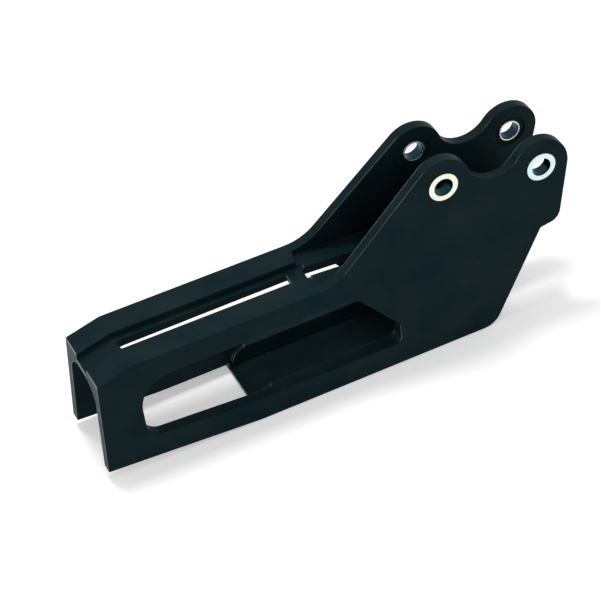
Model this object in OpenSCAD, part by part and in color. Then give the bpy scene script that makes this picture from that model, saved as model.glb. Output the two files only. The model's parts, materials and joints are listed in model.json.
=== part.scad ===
// Chain guide: one moulded housing with four metal bushes pressed into its ears.
// X runs along the guide towards the ears, Y across it, Z up. Sizes in millimetres.

/* [Housing] */
// Width across the side walls at the bottom
width_bottom = 40.3; // [37:0.1:46]
// How much each side wall leans in, in degrees
wall_lean = 3.3; // [0:0.1:4]
// Thickness of the side walls
wall_t = 5; // [4:0.1:6]
// Height of the arm at the entry end
arm_h = 52.4; // [50:0.1:55]
// Fall of the arm's top towards the ears
arm_fall = 1.1; // [0:0.1:2]
// Drop of the lead-in at the entry end
lead_drop = 4.2; // [2:0.1:6]
// Length of the lead-in at the entry end
lead_len = 15.2; // [10:0.1:20]
// Lean of the entry end
entry_lean = 3.3; // [0:0.1:5]
// Rise of the bottom edge at the entry end
belly_rise = 4.6; // [2:0.1:6]
// Position of the bend in the bottom edge
belly_x = 67; // [60:0.5:74]
// Radius where the arm rises to the front ear
rise_r = 20; // [12:0.5:26]
// Angle at which the arm rises to the front ear
rise_angle = 40.7; // [37:0.1:44]

/* [Ears] */
// Outer radius of the ears
ear_r = 12.5; // [12:0.1:14]
// Position of the front bolt along the guide
bolt_front_x = 160; // [157:0.1:162]
// Height of the front bolt
bolt_front_z = 79; // [77:0.1:82]
// Distance between the two bolts
bolt_pitch = 44.4; // [43:0.1:46]
// Slope of the line through the bolts, in degrees
bolt_slope = 11.4; // [9:0.1:14]
// Height of the valley's round centre above the line of bolts
valley_rise = 11.5; // [9:0.1:14]

/* [Rear end] */
// Where the sloping rear edge meets the bottom
rear_foot_x = 175.3; // [172:0.1:178]
// Slope of the rear edge, in degrees
rear_slope = 57.6; // [54:0.1:62]
// Radius of the rear bottom corner
rear_foot_r = 9; // [5:0.5:12]
// Height of the shoulder below the rear ear
shoulder_z = 40; // [38:0.1:42]
// Rise of the shoulder towards the rear ear
shoulder_rise = 1.2; // [0.5:0.1:2]
// Distance of the shoulder's corner behind the rear bolt
shoulder_run = 5.8; // [5:0.1:7]
// Radius of the shoulder's corner
shoulder_r = 6; // [3:0.5:7]

/* [Top rails] */
// Width of the groove between the rails
groove_w = 10.6; // [9:0.1:11.5]
// Width of the slots in the floor of the groove and in the deck
slot_w = 5.6; // [4:0.1:8]
// Height of the rails above the tunnel
rail_t = 5.8; // [5:0.1:7]
// Start of the long slot
slot_x0 = 19.6; // [18:0.1:24]
// End of the long slot
slot_x1 = 95; // [88:0.1:96]
// Width of the bridge after the long slot
bridge_w = 7.1; // [5:0.1:9]
// Depth of the groove between the rails
groove_d = 3; // [2:0.1:3.5]
// Where the thick rails end and the ear gap begins
gap_x0 = 100.6; // [100:0.1:104]
// Slant of the rail ends towards the ear gap
rail_slant = 1.6; // [0:0.1:4]
// Step down from the rails to the deck in the ear gap
deck_step = 2; // [1:0.1:2.6]
// Fall of the deck towards the rear end, in degrees
deck_fall = 4.5; // [0:0.1:6]
// How far the tunnel roof drops at the entry end
roof_nose = 2.4; // [0:0.1:2.6]
// Radius of the upper corners of the tunnel
tunnel_r = 10.5; // [5:0.1:10.8]

/* [Windows] */
// Left edge of the side windows
win_x0 = 19.6; // [18:0.1:22]
// Right edge of the side windows
win_x1 = 133.2; // [130:0.1:136]
// Height of the band above the side windows
win_band = 10.4; // [9:0.1:12]
// Height of the lower edge of the side windows
win_bottom = 10.4; // [9.5:0.1:12]
// Extra height of the lower edge of the side windows at the bend in the bottom
win_kink = 0.4; // [0:0.1:1]
// Length of the upper edge of the side windows
win_top_len = 95.6; // [90:0.1:98]
// Height at which the sloping end of the windows begins
win_slope_z = 19.8; // [17:0.1:24]
// Radius of the windows' upper corner towards the entry
win_r_high = 14; // [10:0.5:18]
// Radius of the windows' upper corner towards the ears
win_r_blunt = 12; // [8:0.5:14]
// Radius of the windows' lower corner towards the entry
win_r_low = 7; // [5:0.5:8]
// Radius of the two corners at the low rear end of the windows
win_r_small = 3; // [2:0.5:4]

/* [Floor] */
// Front edge of the floor
floor_x0 = 67.5; // [62:0.5:72]
// Thickness of the floor
floor_t = 4; // [3:0.1:6]
// Length of the bevel on the front edge of the floor
lip_run = 7; // [5:0.1:9]
// Height of the blunt nose below the bevel
lip_nose = 1; // [0.5:0.1:1.6]
// Extra thickness of the side walls above the floor
liner_t = 2; // [1:0.1:2.6]
// Start of the thicker side walls
liner_x0 = 75.5; // [72:0.5:80]
// Radius of the round foot at the start of the thicker side walls
liner_r = 6; // [4:0.1:7]
// Height of the bevel on the inner bottom edges
edge_bevel_h = 2.2; // [1:0.1:2.5]
// Width of the bevel on the inner bottom edges
edge_bevel_w = 3; // [1:0.1:3.5]

/* [Bushes] */
// Bore of the bushes
bush_bore = 8.2; // [8.2:0.1:8.6]
// Diameter of the sleeve
sleeve_d = 9.6; // [9.4:0.1:11]
// Diameter of the outer collar
collar_d = 13; // [12.4:0.1:14]
// Thickness of the outer collar
collar_t = 1.6; // [1.2:0.1:2]
// How far the bush stands out at its axis
bush_proud = 0.5; // [0.4:0.1:0.8]
// Diameter of the shallow recess round the inner end
recess_d = 14; // [13.5:0.1:16]
// Depth of that recess at the bush axis
recess_depth = 0.7; // [0.5:0.1:1]

/* [Hidden] */
$fn = 96;
eps = 0.5;
arch_ease = 0.8;
over = 2;
wide = 60;
far = 300;
lean_tan = tan(wall_lean);
half_bottom = width_bottom / 2;
bolt_front = [bolt_front_x, bolt_front_z];
bolt_rear = bolt_front + bolt_pitch * [cos(bolt_slope), -sin(bolt_slope)];
guide_len = bolt_rear[0] + ear_r;
mid_x = guide_len / 2;
rise_dir = [cos(rise_angle), sin(rise_angle)];
rise_top = bolt_front + ear_r * [-sin(rise_angle), cos(rise_angle)];
arm_low = arm_h - arm_fall;
rise_foot = rise_top - rise_dir * (rise_top[1] - arm_low) / sin(rise_angle);
bolt_half = bolt_pitch / 2;
valley_r = norm([bolt_half, valley_rise]) - ear_r;
valley_c = (bolt_front + bolt_rear) / 2 + valley_rise * [sin(bolt_slope), cos(bolt_slope)];
slope_top = [rear_foot_x + shoulder_z / tan(rear_slope), shoulder_z];
shoulder = [bolt_rear[0] + shoulder_run, shoulder_z + shoulder_rise];
edge_vec = bolt_rear - shoulder;
edge_len = norm(edge_vec);
edge_a = atan2(edge_vec[1], edge_vec[0]) - asin(ear_r / edge_len);
edge_top = shoulder + sqrt(pow(edge_len, 2) - pow(ear_r, 2)) * [cos(edge_a), sin(edge_a)];
roof_z = arm_low - rail_t;
deck_z = arm_low - deck_step;
entry_top = [entry_lean, arm_h - lead_drop];
lead_end = [entry_lean + lead_len, arm_h];
entry_tilt = atan(roof_nose / lead_len);
slot2_x0 = slot_x1 + bridge_w;
win_top = arm_h - win_band;
win_bend = [belly_x, win_bottom + win_kink];
win_left_z = win_bend[1] + (belly_x - win_x0) * belly_rise / belly_x;

function half_at(z) = half_bottom - z * lean_tan;
function unit(v) = v / norm(v);
function bend(p, c, n) = acos(unit(p - c) * unit(n - c)) / 2;
function reach(p, c, n, r) = r / tan(bend(p, c, n));
function arc_c(p, c, n, r) = c + unit(unit(p - c) + unit(n - c)) * r / sin(bend(p, c, n));
function cut_in(p, c, n, r) = c + unit(p - c) * reach(p, c, n, r);
function cut_out(p, c, n, r) = c + unit(n - c) * reach(p, c, n, r);

// outline of one side wall, with its round ears and the valley between them
module side_outline() {
  entry_low = [0, belly_rise];
  belly = [belly_x, 0];
  foot = [rear_foot_x, 0];
  difference() {
    union() {
      polygon([
        entry_low, belly,
        cut_in(belly, foot, slope_top, rear_foot_r), cut_out(belly, foot, slope_top, rear_foot_r),
        slope_top,
        cut_in(slope_top, shoulder, edge_top, shoulder_r),
        cut_out(slope_top, shoulder, edge_top, shoulder_r),
        edge_top,
        bolt_rear, valley_c, bolt_front, rise_top,
        cut_out(lead_end, rise_foot, rise_top, rise_r),
        arc_c(lead_end, rise_foot, rise_top, rise_r),
        cut_in(lead_end, rise_foot, rise_top, rise_r),
        lead_end, entry_top]);
      corner_disc(belly, foot, slope_top, rear_foot_r);
      corner_disc(slope_top, shoulder, edge_top, shoulder_r);
      translate(bolt_front) circle(r = ear_r);
      translate(bolt_rear) circle(r = ear_r);
    }
    translate(valley_c) circle(r = valley_r);
    translate(arc_c(lead_end, rise_foot, rise_top, rise_r)) circle(r = rise_r);
  }
}

// the part of a disc that rounds off a cut corner
module corner_disc(p, c, n, r) {
  intersection() {
    translate(arc_c(p, c, n, r)) circle(r = r);
    polygon([arc_c(p, c, n, r), cut_in(p, c, n, r), c, cut_out(p, c, n, r)]);
  }
}

// outline of the side windows
module window_outline() {
  a = [win_x0, win_left_z];
  b = win_bend;
  c = [win_x1, win_bottom];
  d = [win_x1, win_slope_z];
  e = [win_x0 + win_top_len, win_top];
  f = [win_x0, win_top];
  polygon([
    cut_in(f, a, b, win_r_low), cut_out(f, a, b, win_r_low),
    b,
    cut_in(b, c, d, win_r_small), cut_out(b, c, d, win_r_small),
    cut_in(c, d, e, win_r_small), cut_out(c, d, e, win_r_small),
    cut_in(d, e, f, win_r_blunt), cut_out(d, e, f, win_r_blunt),
    cut_in(e, f, a, win_r_high), cut_out(e, f, a, win_r_high)]);
  corner_disc(f, a, b, win_r_low);
  corner_disc(b, c, d, win_r_small);
  corner_disc(c, d, e, win_r_small);
  corner_disc(d, e, f, win_r_blunt);
  corner_disc(e, f, a, win_r_high);
}

// a flat outline stood up in the XZ plane and given a width across Y
module upright(w) {
  rotate([90, 0, 0]) translate([0, 0, -w / 2]) linear_extrude(height = w) children();
}

// a cross-section in YZ drawn out along X from x0 to x1
module along(x0, x1) {
  translate([x0, 0, 0]) rotate([90, 0, 90]) linear_extrude(height = x1 - x0) children();
}

// leaning-wall section: everything between the walls set in by the given amount
module lean_section(inset, z0, z1) {
  polygon([
    [-half_at(z0) + inset, z0], [half_at(z0) - inset, z0],
    [half_at(z1) - inset, z1], [-half_at(z1) + inset, z1]]);
}

// section of an arch with its roof at z = 0, drawn wide below its corners, where the side walls close it
module arch_section(half_w) {
  corner_y = half_w - tunnel_r;
  translate([-wide, -far]) square([2 * wide, far - tunnel_r]);
  translate([-corner_y, -tunnel_r]) square([2 * corner_y, tunnel_r]);
  translate([-corner_y, -tunnel_r]) circle(r = tunnel_r);
  translate([corner_y, -tunnel_r]) circle(r = tunnel_r);
}

// everything under an arch whose roof passes the given place and falls by the given angle
module under_arch(inset, x, fall) {
  translate([x, 0, roof_z]) rotate([0, fall, 0]) along(-far, far)
    arch_section(half_at(roof_z - tunnel_r) - inset + arch_ease);
}

// side view of the entry channel, open below in front of the floor, with the round feet of the thicker walls
module channel_outline() {
  difference() {
    translate([-over, -over]) square([liner_x0 + over, wide]);
    translate([floor_x0, floor_t - wide]) square([wide, wide]);
    translate([liner_x0, floor_t]) circle(r = liner_r);
  }
}

// the channel at the entry
module entry_channel() {
  intersection() {
    under_arch(wall_t, lead_end[0], 0);
    under_arch(wall_t, lead_end[0], -entry_tilt);
    along(-over, liner_x0 + over) lean_section(wall_t, -2 * over, wide);
    upright(2 * wide) channel_outline();
  }
}

// the tunnel between the thicker walls, from the floor's front edge to the open rear end
module chain_tunnel() {
  inset = wall_t + liner_t;
  intersection() {
    under_arch(inset, gap_x0, 0);
    under_arch(inset, gap_x0, deck_fall);
    along(floor_x0 - eps, far) lean_section(inset, floor_t, wide);
  }
}

// bevel on the front edge of the floor
module floor_bevel() {
  upright(2 * (half_at(floor_t) - wall_t - liner_t)) polygon([
    [floor_x0 - eps, lip_nose], [floor_x0, lip_nose],
    [floor_x0 + lip_run, floor_t], [floor_x0 + lip_run, floor_t + 2 * eps],
    [floor_x0 - eps, floor_t + 2 * eps]]);
}

// level bevel on the inner bottom edge of one side wall, in front of the floor
module edge_bevel() {
  inner_y = half_at(0) - wall_t;
  along(0, floor_x0) polygon([
    [inner_y + edge_bevel_w, 0], [inner_y, edge_bevel_h], [inner_y - over, edge_bevel_h],
    [inner_y - over, -over], [inner_y + edge_bevel_w, -over]]);
}

// groove between the rails and the slots in its floor
module top_slots() {
  slot_r = slot_w / 2;
  groove_low = [0, -groove_d];
  groove_high = [0, rail_t];
  arm_dir = [1, -arm_fall / (rise_foot[0] - lead_end[0])];
  groove_end = lead_end + arm_dir * (gap_x0 + rail_slant + 2 * eps - lead_end[0]);
  groove_start = entry_top - (lead_end - entry_top) / 2;
  slot_low = roof_z - over;
  slot_high = arm_h - slot_low;
  upright(groove_w) polygon([
    groove_start + groove_low, lead_end + groove_low, groove_end + groove_low,
    groove_end + groove_high, lead_end + groove_high, groove_start + groove_high]);
  translate([slot_x0 + slot_r, -slot_r, slot_low]) cube([slot_x1 - slot_x0 - slot_r, slot_w, slot_high]);
  translate([slot_x0 + slot_r, 0, slot_low]) cylinder(r = slot_r, h = slot_high);
  translate([slot2_x0, -slot_r, roof_z / 2]) cube([far, slot_w, roof_z]);
}

// open gap between the ears, above the falling deck
module ear_gap() {
  deck_y = half_at(deck_z) - wall_t;
  rail_x1 = gap_x0 + rail_slant;
  intersection() {
    along(gap_x0 - over, far) lean_section(wall_t, roof_z / 2, 2 * wide);
    translate([gap_x0, 0, deck_z]) rotate([0, deck_fall, 0]) translate([-wide, -wide, 0])
      cube([far, 2 * wide, far]);
    linear_extrude(height = far) polygon([
      [gap_x0, -groove_w / 2], [rail_x1, -deck_y], [rail_x1, -wide], [far, -wide],
      [far, wide], [rail_x1, wide], [rail_x1, deck_y], [gap_x0, groove_w / 2]]);
  }
}

// stepped hole for one bush, cut from the outer face inwards
module bush_hole(at, side) {
  outer = half_at(at[1]);
  mirror([0, side > 0 ? 0 : 1, 0]) translate([at[0], 0, at[1]]) rotate([-90, 0, 0]) {
    translate([0, 0, outer - wall_t - over]) cylinder(d = sleeve_d, h = wall_t + 2 * over);
    translate([0, 0, outer + bush_proud - collar_t]) cylinder(d = collar_d, h = collar_t + over);
    translate([0, 0, outer - wall_t - over]) cylinder(d = recess_d, h = over + recess_depth);
  }
}

// the moulded housing
module guide_body() {
  color([0.07, 0.09, 0.1]) translate([-mid_x, 0, 0]) difference() {
    intersection() {
      upright(width_bottom + over) side_outline();
      along(-over, far) lean_section(0, -over, 2 * wide);
    }
    entry_channel();
    chain_tunnel();
    floor_bevel();
    edge_bevel();
    mirror([0, 1, 0]) edge_bevel();
    ear_gap();
    top_slots();
    upright(width_bottom + 2 * over) window_outline();
    bush_hole(bolt_front, -1);
    bush_hole(bolt_front, 1);
    bush_hole(bolt_rear, -1);
    bush_hole(bolt_rear, 1);
  }
}

// a metal bush: sleeve with an outer collar and a plain bore
module bush(at, side) {
  outer = half_at(at[1]);
  bush_len = wall_t + bush_proud;
  color([0.8, 0.8, 0.78]) translate([-mid_x, 0, 0])
    mirror([0, side > 0 ? 0 : 1, 0]) translate([at[0], outer - wall_t, at[1]]) rotate([-90, 0, 0])
    difference() {
      union() {
        cylinder(d = sleeve_d, h = bush_len);
        translate([0, 0, bush_len - collar_t]) cylinder(d = collar_d, h = collar_t);
      }
      translate([0, 0, -over]) cylinder(d = bush_bore, h = bush_len + 2 * over);
    }
}

module bush_front_near() {
  bush(bolt_front, -1);
}

module bush_front_far() {
  bush(bolt_front, 1);
}

module bush_rear_near() {
  bush(bolt_rear, -1);
}

module bush_rear_far() {
  bush(bolt_rear, 1);
}

guide_body();
bush_front_near();
bush_front_far();
bush_rear_near();
bush_rear_far();
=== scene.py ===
"""Motorcycle chain guide: the photograph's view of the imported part, on a white studio floor."""
import json
import math

import bpy
from mathutils import Matrix, Vector

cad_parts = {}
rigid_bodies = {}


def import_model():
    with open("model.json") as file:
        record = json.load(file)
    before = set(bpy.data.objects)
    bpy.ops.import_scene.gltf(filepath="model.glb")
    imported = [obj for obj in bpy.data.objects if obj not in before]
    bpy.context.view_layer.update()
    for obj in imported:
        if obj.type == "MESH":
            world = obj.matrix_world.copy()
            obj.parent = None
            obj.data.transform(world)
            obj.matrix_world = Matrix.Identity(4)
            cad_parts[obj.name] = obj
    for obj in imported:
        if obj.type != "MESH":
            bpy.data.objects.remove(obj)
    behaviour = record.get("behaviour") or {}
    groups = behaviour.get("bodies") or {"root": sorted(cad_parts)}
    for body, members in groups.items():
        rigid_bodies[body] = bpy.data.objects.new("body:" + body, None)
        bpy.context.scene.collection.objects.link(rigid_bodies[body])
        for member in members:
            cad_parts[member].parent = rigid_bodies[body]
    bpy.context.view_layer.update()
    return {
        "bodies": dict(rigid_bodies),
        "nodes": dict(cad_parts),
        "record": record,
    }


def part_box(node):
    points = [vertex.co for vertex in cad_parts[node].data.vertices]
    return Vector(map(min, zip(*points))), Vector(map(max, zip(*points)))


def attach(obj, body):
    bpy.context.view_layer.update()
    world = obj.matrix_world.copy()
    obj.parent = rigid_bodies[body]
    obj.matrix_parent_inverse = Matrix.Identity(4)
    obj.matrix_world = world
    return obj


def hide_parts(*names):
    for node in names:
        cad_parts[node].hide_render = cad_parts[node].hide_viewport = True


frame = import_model()

WHITE = (1.0, 1.0, 1.0, 1.0)

# The camera, as fitted to the photograph's outline, in metres and radians
IMAGE_WIDTH = 601.0
CAMERA_PLACE = Vector((-0.2930, -0.8174, 0.8107))
CAMERA_TURN = math.radians(-19.13)
CAMERA_RISE = math.radians(41.86)
CAMERA_ROLL = math.radians(-8.71)
FOCAL_PIXELS = 2846.0
SENSOR_MM = 36.0
CLIP_NEAR = 0.05
CLIP_FAR = 20.0

# The housing's visual mesh: how close points are joined, how flat faces are merged, in metres and radians
WELD_WITHIN = 0.00018
FLAT_WITHIN = math.radians(0.4)

# The housing's rounded edges
HOUSING_EDGE = 0.00042
EDGE_FROM_ANGLE = math.radians(24.0)
EDGE_SEGMENTS = 2
NORMAL_WEIGHT = 80

# The bushes, in metres: collar and sleeve as in the solids, and their rounded edges
BUSHES = ["bush_front_near", "bush_front_far", "bush_rear_near", "bush_rear_far"]
WARM_BUSHES = ["bush_front_near", "bush_rear_far"]
COLLAR_THICK = 0.0016
SLEEVE_RADIUS = 0.0048
BUSH_EDGE = 0.0003
BORE_EDGE = 0.00025
BUSH_STEPS = 96
CORNER_STEPS = 4
SHARP_FROM = math.radians(35.0)

# The plastic: its darkest and palest colour, and the tints of its reflections
DEEP_PLASTIC = (0.0019, 0.0104, 0.0140, 1.0)
PALE_PLASTIC = (0.0074, 0.0166, 0.0190, 1.0)
COOL_TINT = (0.15, 0.80, 1.0, 1.0)
GREY_TINT = (0.72, 0.95, 1.0, 1.0)
PLASTIC_ROUGHNESS = (0.36, 0.46)
PLASTIC_SPECULAR = 0.05

# The plastic's noise: how many cells a metre
CLOUD_SCALE = 60.0
PATCH_SCALE = 28.0
WAVE_SCALE = 160.0
GRAIN_SCALE = 2400.0

# The painted edge highlight, a sheen painted into the colour of the rounded edges: the way they have to
# face, how far, and its colour
SHEEN_WAY = (-0.93, 0.25, 0.26)
SHEEN_FROM = 0.62
SHEEN_FULL = 0.95
LEAST_SHEEN = 0.25
EDGE_SHEEN_COLOUR = (0.42, 0.55, 0.58, 1.0)

# The metals: light and dark colour
WARM_METAL = ((0.80, 0.84, 0.70, 1.0), (0.68, 0.72, 0.60, 1.0))
COOL_METAL = ((0.64, 0.78, 0.80, 1.0), (0.54, 0.68, 0.72, 1.0))
# The bores: a far darker metal than the collar faces.
BORE_METAL = ((0.012, 0.042, 0.064, 1.0), (0.007, 0.024, 0.036, 1.0))
FACE_ROUGHNESS = (0.20, 0.30)
BORE_ROUGHNESS = (0.18, 0.30)
SPECK_SCALE = 900.0

# The studio: floor, surroundings and two soft lamps, in metres and watts
FLOOR_REACH = 4.0
FLOOR_BELOW = 0.0002
FLOOR_COLOUR = (0.82, 0.82, 0.82, 1.0)
FLOOR_ROUGHNESS = 0.9
FLOOR_SEEN = (0.85, 0.85, 0.85, 1.0)
FLOOR_GLOW = 0.35
WORLD_LEVEL = 0.62
LAMP_TARGET = (0.0, 0.0, 0.04)
BACK_KEY_PLACE = (-0.05, 0.30, 1.2)
BACK_KEY_SIZE = (0.26, 0.26)
BACK_KEY_WATTS = 7.0
FRONT_FILL_PLACE = (0.1, -1.25, 0.7)
FRONT_FILL_SIZE = (1.6, 0.7)
FRONT_FILL_WATTS = 1.8


def clear_defaults():
    """Removes the camera and lamp of Blender's start-up file and keeps the frame."""
    keep = set(frame["nodes"].values()) | set(frame["bodies"].values())
    for obj in list(bpy.data.objects):
        if obj not in keep and obj.type in {"CAMERA", "LIGHT"}:
            bpy.data.objects.remove(obj)


def add_camera():
    """The photograph's camera: turned, raised and rolled round the part."""
    back = Vector((
        math.sin(CAMERA_TURN) * math.cos(CAMERA_RISE),
        -math.cos(CAMERA_TURN) * math.cos(CAMERA_RISE),
        math.sin(CAMERA_RISE)))
    level = Vector((math.cos(CAMERA_TURN), math.sin(CAMERA_TURN), 0.0))
    upright = back.cross(level)
    right = math.cos(CAMERA_ROLL) * level + math.sin(CAMERA_ROLL) * upright
    up = math.cos(CAMERA_ROLL) * upright - math.sin(CAMERA_ROLL) * level
    data = bpy.data.cameras.new("photo_camera")
    data.sensor_width = SENSOR_MM
    data.sensor_fit = "HORIZONTAL"
    data.lens = FOCAL_PIXELS * SENSOR_MM / IMAGE_WIDTH
    data.clip_start = CLIP_NEAR
    data.clip_end = CLIP_FAR
    camera = bpy.data.objects.new("photo_camera", data)
    turn = Matrix((right, up, back)).transposed()
    camera.matrix_world = Matrix.Translation(CAMERA_PLACE) @ turn.to_4x4()
    bpy.context.collection.objects.link(camera)
    bpy.context.scene.camera = camera


def new_material(name):
    """A new node material and its main shader."""
    material = bpy.data.materials.new(name)
    material.use_nodes = True
    return material, material.node_tree.nodes["Principled BSDF"]


def noise(tree, coords, scale, detail, roughness=0.5):
    """A noise texture's factor in the object's own coordinates."""
    node = tree.nodes.new("ShaderNodeTexNoise")
    node.inputs["Scale"].default_value = scale
    node.inputs["Detail"].default_value = detail
    node.inputs["Roughness"].default_value = roughness
    tree.links.new(coords.outputs["Object"], node.inputs["Vector"])
    return node.outputs["Fac"]


def remap(tree, source, low, high, start=0.3, end=0.7):
    """Spreads a factor between start and end from low to high."""
    node = tree.nodes.new("ShaderNodeMapRange")
    node.inputs["From Min"].default_value = start
    node.inputs["From Max"].default_value = end
    node.inputs["To Min"].default_value = low
    node.inputs["To Max"].default_value = high
    tree.links.new(source, node.inputs["Value"])
    return node.outputs["Result"]


def mix_colours(tree, factor, first, second):
    """A colour between the first and the second, by the factor. Each is a colour or a node's output."""
    node = tree.nodes.new("ShaderNodeMix")
    node.data_type = "RGBA"
    for socket, colour in ((node.inputs[6], first), (node.inputs[7], second)):
        if isinstance(colour, tuple):
            socket.default_value = colour
        else:
            tree.links.new(colour, socket)
    tree.links.new(factor, node.inputs["Factor"])
    return node.outputs[2]


def bump(tree, height, strength, distance, under=None):
    """A bump from a height, on top of another bump."""
    node = tree.nodes.new("ShaderNodeBump")
    node.inputs["Strength"].default_value = strength
    node.inputs["Distance"].default_value = distance
    tree.links.new(height, node.inputs["Height"])
    if under is not None:
        tree.links.new(under, node.inputs["Normal"])
    return node.outputs["Normal"]


def painted_edge_sheen(tree, patches):
    """How strongly an edge carries the painted highlight, from 0 to 1: more where it faces the given way,
    towards the entry, uneven by the patches.
    """
    surface = tree.nodes.new("ShaderNodeNewGeometry")
    facing = tree.nodes.new("ShaderNodeVectorMath")
    facing.operation = "DOT_PRODUCT"
    facing.inputs[1].default_value = SHEEN_WAY
    tree.links.new(surface.outputs["Normal"], facing.inputs[0])
    turned = remap(tree, facing.outputs["Value"], 0.0, 1.0, SHEEN_FROM, SHEEN_FULL)
    uneven = remap(tree, patches, LEAST_SHEEN, 1.0)
    sheen = tree.nodes.new("ShaderNodeMath")
    sheen.operation = "MULTIPLY"
    tree.links.new(turned, sheen.inputs[0])
    tree.links.new(uneven, sheen.inputs[1])
    return sheen.outputs[0]


def housing_material(name, with_sheen=False):
    """Black moulded plastic with a blue-green cast, a fine grain and faint cloudy wear, and on request a
    painted highlight on the edges that face the given way.
    """
    material, shader = new_material(name)
    tree = material.node_tree
    coords = tree.nodes.new("ShaderNodeTexCoord")
    clouds = noise(tree, coords, CLOUD_SCALE, 5.0, 0.6)
    patches = noise(tree, coords, PATCH_SCALE, 3.0)
    waves = noise(tree, coords, WAVE_SCALE, 3.0)
    grain = noise(tree, coords, GRAIN_SCALE, 2.0)
    colour = mix_colours(tree, remap(tree, clouds, 0.0, 1.0), DEEP_PLASTIC, PALE_PLASTIC)
    # Painted highlight: edges that face the given way are mixed towards a pale colour.
    if with_sheen:
        colour = mix_colours(tree, painted_edge_sheen(tree, patches), colour, EDGE_SHEEN_COLOUR)
    tree.links.new(colour, shader.inputs["Base Color"])
    tree.links.new(remap(tree, waves, *PLASTIC_ROUGHNESS), shader.inputs["Roughness"])
    shader.inputs["Specular IOR Level"].default_value = PLASTIC_SPECULAR
    tint = mix_colours(tree, remap(tree, patches, 0.0, 1.0), COOL_TINT, GREY_TINT)
    tree.links.new(tint, shader.inputs["Specular Tint"])
    soft = bump(tree, waves, 0.3, 0.0003)
    fine = bump(tree, grain, 0.2, 0.00006, soft)
    tree.links.new(fine, shader.inputs["Normal"])
    return material


def bush_material(name, colours, roughness):
    """Plated steel with faint specks, between a light and a dark colour."""
    light, dark = colours
    material, shader = new_material(name)
    tree = material.node_tree
    coords = tree.nodes.new("ShaderNodeTexCoord")
    specks = noise(tree, coords, SPECK_SCALE, 3.0)
    tone = mix_colours(tree, remap(tree, specks, 0.0, 1.0), light, dark)
    tree.links.new(tone, shader.inputs["Base Color"])
    tree.links.new(remap(tree, specks, *roughness), shader.inputs["Roughness"])
    shader.inputs["Metallic"].default_value = 1.0
    tree.links.new(bump(tree, specks, 0.2, 0.00004), shader.inputs["Normal"])
    return material


def cleaning_nodes():
    """Geometry nodes that delete each face with an edge that no other face shares, and smooth the rest."""
    group = bpy.data.node_groups.new("drop_loose_faces", "GeometryNodeTree")
    group.interface.new_socket("Geometry", in_out="INPUT", socket_type="NodeSocketGeometry")
    group.interface.new_socket("Geometry", in_out="OUTPUT", socket_type="NodeSocketGeometry")
    source = group.nodes.new("NodeGroupInput")
    result = group.nodes.new("NodeGroupOutput")
    around = group.nodes.new("GeometryNodeInputMeshEdgeNeighbors")
    single = group.nodes.new("FunctionNodeCompare")
    single.data_type = "INT"
    single.operation = "EQUAL"
    single.inputs[3].default_value = 1
    group.links.new(around.outputs[0], single.inputs[2])
    on_edges = group.nodes.new("GeometryNodeFieldOnDomain")
    on_edges.data_type = "FLOAT"
    on_edges.domain = "EDGE"
    group.links.new(single.outputs[0], on_edges.inputs[0])
    touched = group.nodes.new("FunctionNodeCompare")
    touched.data_type = "FLOAT"
    touched.operation = "GREATER_THAN"
    touched.inputs[1].default_value = 0.1
    group.links.new(on_edges.outputs[0], touched.inputs[0])
    drop = group.nodes.new("GeometryNodeDeleteGeometry")
    drop.domain = "FACE"
    drop.mode = "EDGE_FACE"
    group.links.new(source.outputs[0], drop.inputs["Geometry"])
    group.links.new(touched.outputs[0], drop.inputs["Selection"])
    smooth = group.nodes.new("GeometryNodeSetShadeSmooth")
    smooth.inputs["Shade Smooth"].default_value = True
    group.links.new(drop.outputs[0], smooth.inputs["Geometry"])
    group.links.new(smooth.outputs[0], result.inputs[0])
    return group


def dress_housing(material, sheen_material):
    """Gives the CAD housing its plastic and, by modifiers, its rounded edges, whose bevel strips carry the
    painted edge highlight.
    """
    obj = frame["nodes"]["guide_body"]
    for slot in obj.material_slots:
        slot.material = material
    obj.data.materials.append(sheen_material)
    weld = obj.modifiers.new("weld", "WELD")
    weld.merge_threshold = WELD_WITHIN
    loose = obj.modifiers.new("loose", "NODES")
    loose.node_group = cleaning_nodes()
    flat = obj.modifiers.new("flat", "DECIMATE")
    flat.decimate_type = "DISSOLVE"
    flat.angle_limit = FLAT_WITHIN
    bevel = obj.modifiers.new("edge", "BEVEL")
    bevel.width = HOUSING_EDGE
    bevel.segments = EDGE_SEGMENTS
    bevel.limit_method = "ANGLE"
    bevel.angle_limit = EDGE_FROM_ANGLE
    bevel.miter_outer = "MITER_SHARP"
    bevel.use_clamp_overlap = False
    # The bevel strips take the plastic with the painted edge highlight.
    bevel.material = len(obj.material_slots) - 1
    weighted = obj.modifiers.new("normals", "WEIGHTED_NORMAL")
    weighted.weight = NORMAL_WEIGHT


def rounded(corner, before, after, radius):
    """The points that round one corner of a profile between its neighbours, all as (radius, height)."""
    start = corner + (before - corner).normalized() * radius
    end = corner + (after - corner).normalized() * radius
    points = []
    for i in range(CORNER_STEPS + 1):
        t = i / CORNER_STEPS
        points.append(start.lerp(corner, t).lerp(corner.lerp(end, t), t))
    return points


def bush_profile(bore, collar, length):
    """The closed section of a bush, from its inner end at height 0 to its collar's face."""
    corners = [
        (Vector((bore, 0.0)), BORE_EDGE),
        (Vector((SLEEVE_RADIUS, 0.0)), BUSH_EDGE),
        (Vector((SLEEVE_RADIUS, length - COLLAR_THICK)), 0.0),
        (Vector((collar, length - COLLAR_THICK)), 0.0),
        (Vector((collar, length)), BUSH_EDGE),
        (Vector((bore, length)), BORE_EDGE)]
    points = []
    for i, (corner, radius) in enumerate(corners):
        if radius:
            before = corners[i - 1][0]
            after = corners[(i + 1) % len(corners)][0]
            points += rounded(corner, before, after, radius)
        else:
            points.append(corner)
    return points


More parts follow.
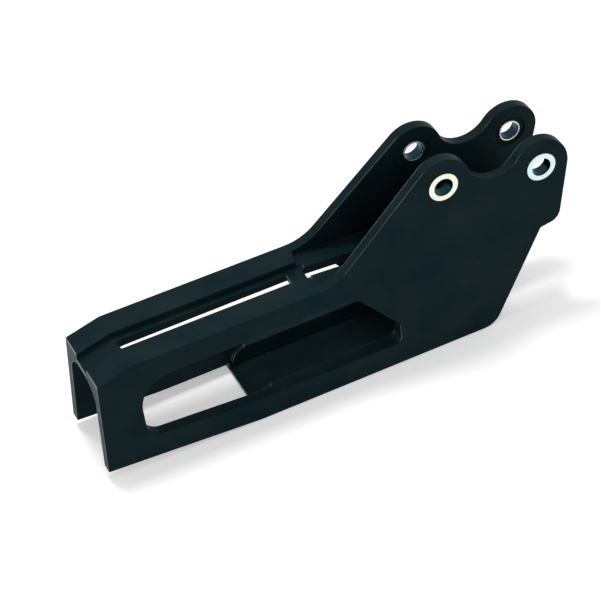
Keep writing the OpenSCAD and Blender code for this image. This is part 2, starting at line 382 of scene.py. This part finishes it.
def add_bush(node, face_metal, bore_metal):
    """A turned bush with rounded edges, in the place of the CAD node."""
    low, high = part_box(node)
    centre_x = (low[0] + high[0]) / 2
    centre_z = (low[2] + high[2]) / 2
    side = 1.0 if low[1] > 0 else -1.0
    inner_y = low[1] if side > 0 else high[1]
    bore = frame["record"]["mounts"][0]["dims"]["r_mm"] / 1000
    profile = bush_profile(bore, (high[0] - low[0]) / 2, high[1] - low[1])
    count = len(profile)
    verts = []
    for k in range(BUSH_STEPS):
        angle = side * 2 * math.pi * k / BUSH_STEPS
        for point in profile:
            verts.append((
                centre_x + point.x * math.cos(angle),
                inner_y + side * point.y,
                centre_z - point.x * math.sin(angle)))
    faces = []
    metals = []
    for k in range(BUSH_STEPS):
        here = k * count
        there = ((k + 1) % BUSH_STEPS) * count
        for i in range(count):
            j = (i + 1) % count
            faces.append((here + i, there + i, there + j, here + j))
            in_bore = max(profile[i].x, profile[j].x) < bore + BORE_EDGE / 4
            metals.append(1 if in_bore else 0)
    mesh = bpy.data.meshes.new(node + "_turned")
    mesh.from_pydata(verts, [], faces)
    mesh.polygons.foreach_set("use_smooth", [True] * len(faces))
    mesh.set_sharp_from_angle(angle=SHARP_FROM)
    mesh.materials.append(face_metal)
    mesh.materials.append(bore_metal)
    mesh.polygons.foreach_set("material_index", metals)
    piece = bpy.data.objects.new(node + "_turned", mesh)
    bpy.context.collection.objects.link(piece)
    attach(piece, "root")
    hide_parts(node)


def seen_as_background(tree):
    """1 for camera, glossy and transmission rays, else 0."""
    path = tree.nodes.new("ShaderNodeLightPath")
    either = path.outputs["Is Camera Ray"]
    for name in ("Is Glossy Ray", "Is Transmission Ray"):
        node = tree.nodes.new("ShaderNodeMath")
        node.operation = "MAXIMUM"
        tree.links.new(either, node.inputs[0])
        tree.links.new(path.outputs[name], node.inputs[1])
        either = node.outputs[0]
    return either


def show_as_background(tree, plain, seen, output):
    """Shows one shader to the camera and in reflections, and the plain one to all other light."""
    choose = tree.nodes.new("ShaderNodeMixShader")
    tree.links.new(seen_as_background(tree), choose.inputs[0])
    tree.links.new(plain, choose.inputs[1])
    tree.links.new(seen, choose.inputs[2])
    tree.links.new(choose.outputs[0], tree.nodes[output].inputs["Surface"])


def add_floor():
    """A pale floor that keeps the part's soft shadow and looks white as a background."""
    mesh = bpy.data.meshes.new("studio_floor")
    corners = [
        (-FLOOR_REACH, -FLOOR_REACH, 0),
        (FLOOR_REACH, -FLOOR_REACH, 0),
        (FLOOR_REACH, FLOOR_REACH, 0),
        (-FLOOR_REACH, FLOOR_REACH, 0)]
    mesh.from_pydata(corners, [], [(0, 1, 2, 3)])
    floor = bpy.data.objects.new("studio_floor", mesh)
    floor.location.z = -FLOOR_BELOW
    bpy.context.collection.objects.link(floor)
    material, shader = new_material("pale_floor")
    tree = material.node_tree
    shader.inputs["Base Color"].default_value = FLOOR_COLOUR
    shader.inputs["Roughness"].default_value = FLOOR_ROUGHNESS
    shader.inputs["Specular IOR Level"].default_value = 0.0
    matt = tree.nodes.new("ShaderNodeBsdfDiffuse")
    matt.inputs["Color"].default_value = FLOOR_SEEN
    light = tree.nodes.new("ShaderNodeEmission")
    light.inputs["Color"].default_value = WHITE
    light.inputs["Strength"].default_value = FLOOR_GLOW
    both = tree.nodes.new("ShaderNodeAddShader")
    tree.links.new(matt.outputs[0], both.inputs[0])
    tree.links.new(light.outputs[0], both.inputs[1])
    show_as_background(tree, shader.outputs[0], both.outputs[0], "Material Output")
    mesh.materials.append(material)


def add_area_light(name, place, size, watts):
    """A soft rectangular lamp aimed at the middle of the part."""
    data = bpy.data.lights.new(name, "AREA")
    data.shape = "RECTANGLE"
    data.size = size[0]
    data.size_y = size[1]
    data.energy = watts
    lamp = bpy.data.objects.new(name, data)
    lamp.location = place
    aim = Vector(LAMP_TARGET) - Vector(place)
    lamp.rotation_euler = aim.to_track_quat("-Z", "Y").to_euler()
    bpy.context.collection.objects.link(lamp)


def set_world():
    """Plain grey surroundings that look white as a background."""
    world = bpy.data.worlds.new("studio")
    bpy.context.scene.world = world
    world.use_nodes = True
    tree = world.node_tree
    plain = tree.nodes["Background"]
    plain.inputs["Color"].default_value = WHITE
    plain.inputs["Strength"].default_value = WORLD_LEVEL
    white = tree.nodes.new("ShaderNodeBackground")
    white.inputs["Color"].default_value = WHITE
    white.inputs["Strength"].default_value = 1.0
    show_as_background(tree, plain.outputs[0], white.outputs[0], "World Output")


def main():
    clear_defaults()
    add_camera()
    plastic = housing_material("moulded_black_plastic")
    # The plastic for the rounded edges, with a painted highlight.
    sheen_plastic = housing_material("painted_edge_sheen_plastic", with_sheen=True)
    dress_housing(plastic, sheen_plastic)
    warm = bush_material("plated_bush_warm", WARM_METAL, FACE_ROUGHNESS)
    cool = bush_material("plated_bush_cool", COOL_METAL, FACE_ROUGHNESS)
    inside = bush_material("bush_bore", BORE_METAL, BORE_ROUGHNESS)
    for bush in BUSHES:
        add_bush(bush, warm if bush in WARM_BUSHES else cool, inside)
    add_floor()
    set_world()
    add_area_light("back_key", BACK_KEY_PLACE, BACK_KEY_SIZE, BACK_KEY_WATTS)
    add_area_light("front_fill", FRONT_FILL_PLACE, FRONT_FILL_SIZE, FRONT_FILL_WATTS)
    bpy.context.scene.view_settings.view_transform = "Standard"


main()
